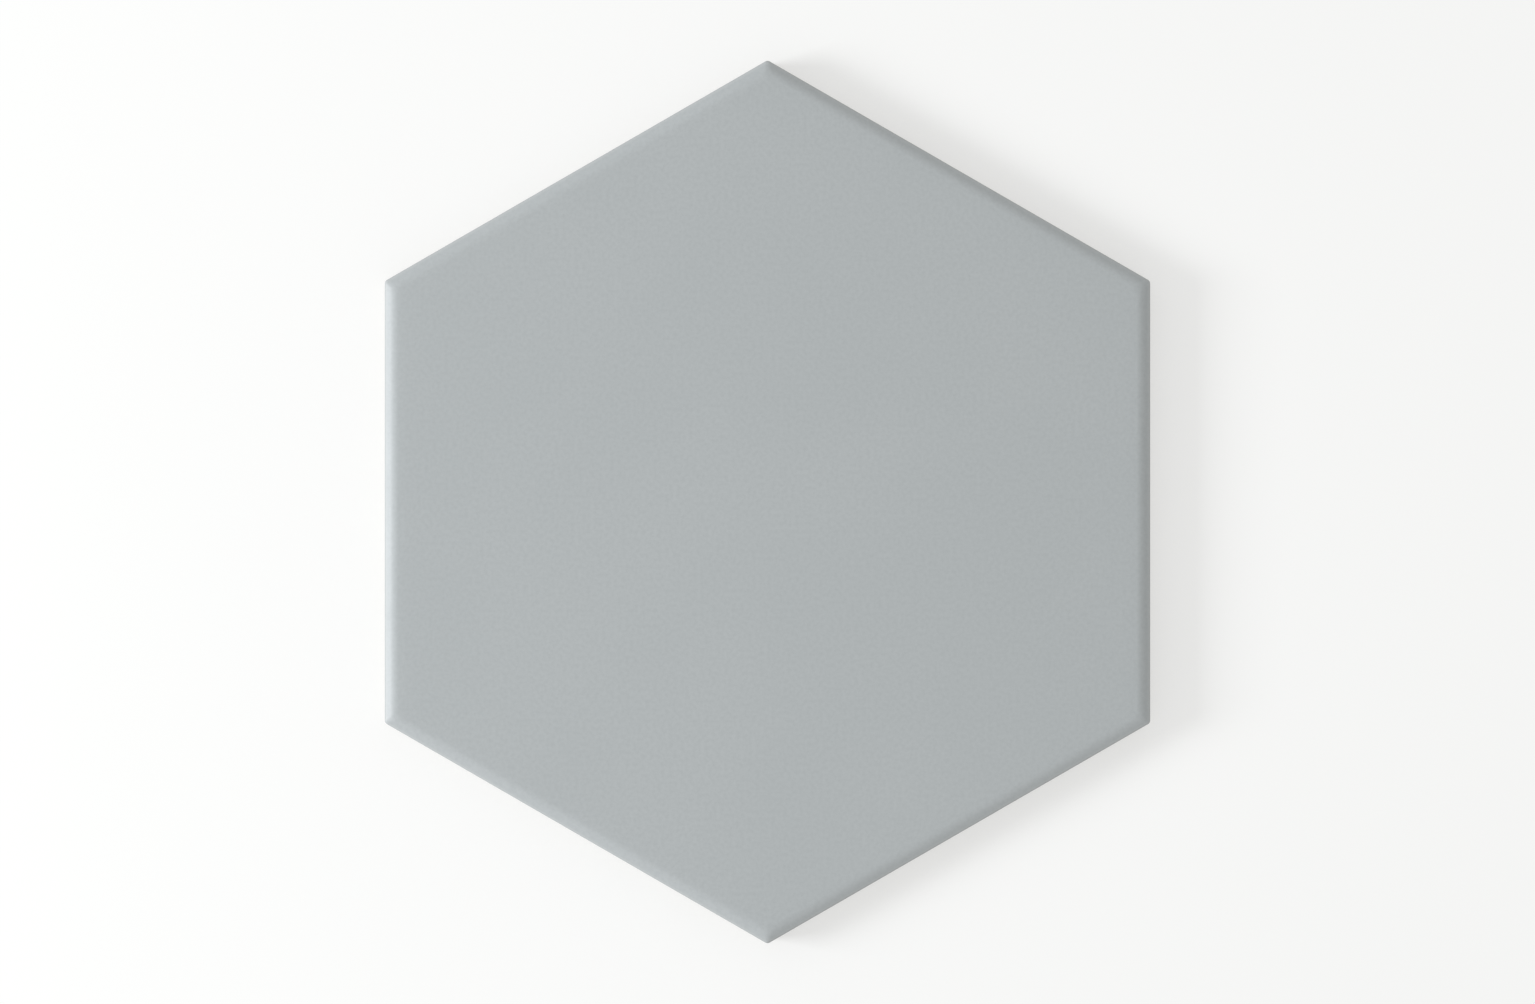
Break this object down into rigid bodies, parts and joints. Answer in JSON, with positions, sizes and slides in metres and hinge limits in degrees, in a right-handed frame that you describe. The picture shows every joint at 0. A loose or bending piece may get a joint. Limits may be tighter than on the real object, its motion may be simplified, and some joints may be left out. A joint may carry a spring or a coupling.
{
  "type": "hexagon floor tile",
  "caption": "Regular hexagonal pressed ceramic floor tile: flat matt glazed face with a rolled edge, drafted sides and a back keyed with shallow honeycomb recesses.",
  "frame": {"origin": "middle of the back, on the surface that the tile lies on", "axes": "+Z out of the glazed face; two opposite sides face +X and -X; two corners point to +Y and -Y"},
  "size_m": [0.175, 0.2018, 0.009],
  "materials": {
    "glazed_ceramic": "matt pale cool grey glaze on the face and rolled edge, bare fired body on the lower sides and the back"
  },
  "bodies": {
    "root": {"hexagon_tile": "glazed_ceramic"}
  },
  "joints": []
}
